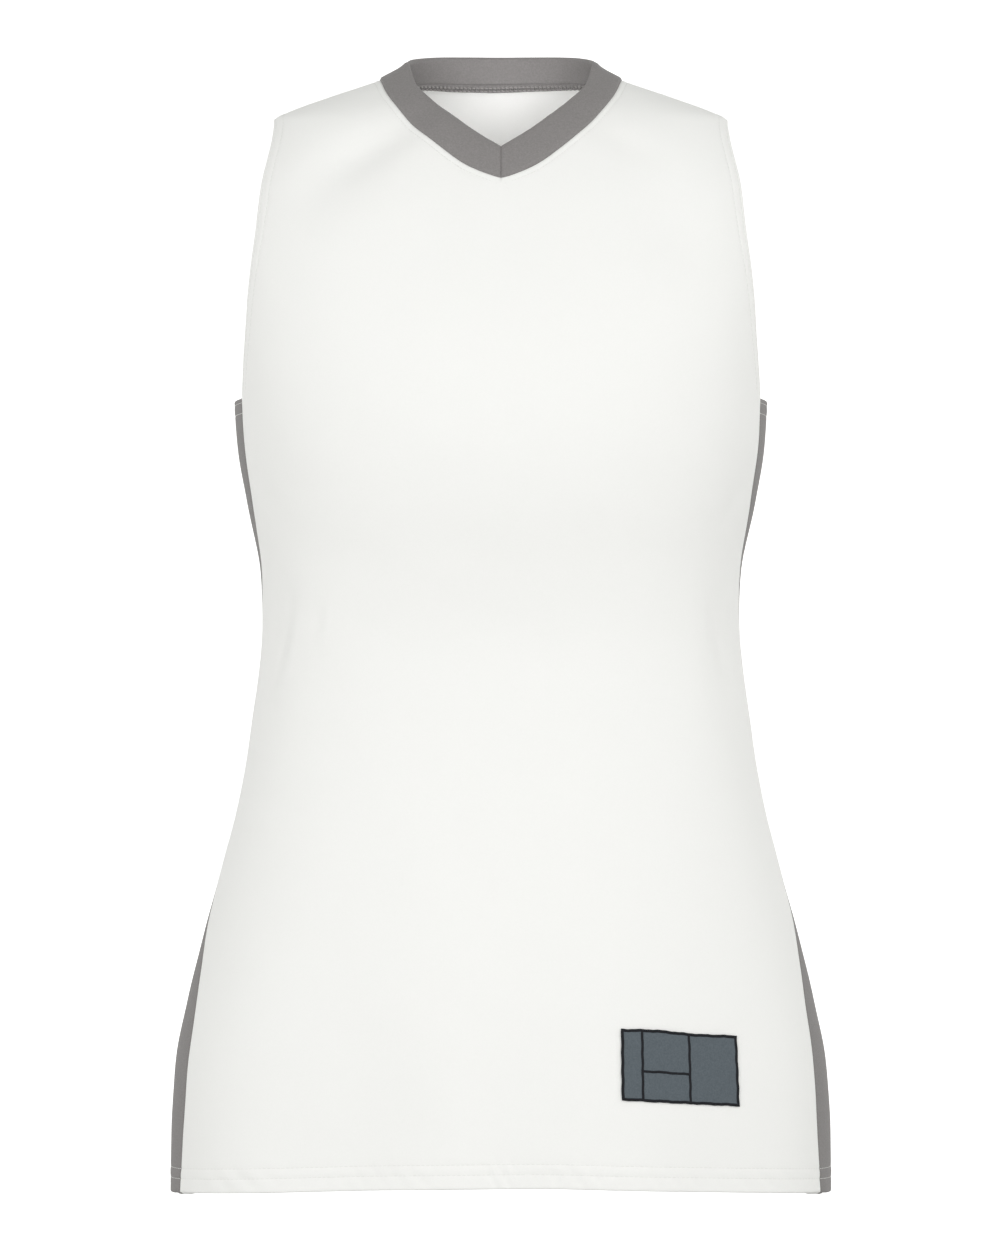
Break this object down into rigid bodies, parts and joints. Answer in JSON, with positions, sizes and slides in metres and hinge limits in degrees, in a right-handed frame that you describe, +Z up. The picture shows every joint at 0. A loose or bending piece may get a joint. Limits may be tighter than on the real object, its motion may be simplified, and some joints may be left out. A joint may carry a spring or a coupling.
{
  "type": "basketball jersey",
  "caption": "Sleeveless V-neck basketball jersey, filled out as worn, with contrast side panels and neckband, shaped waist, turned hems and a plain sewn patch near the hem.",
  "frame": {"origin": "midway between the neck ends of the two shoulder seams, where a wearer's shoulders carry the garment", "axes": "+Z up along the body, -Y towards the front of the garment, +X towards the wearer's left"},
  "size_m": [0.4174, 0.2462, 0.719],
  "materials": {
    "white_knit": "matte smooth interlock knit",
    "grey_knit": "matte smooth interlock knit",
    "patch_twill": "matte woven twill"
  },
  "bodies": {
    "root": {"front": "white_knit", "back": "white_knit", "side_left": "grey_knit", "side_right": "grey_knit", "neckband": "grey_knit", "label": "patch_twill"}
  },
  "joints": []
}
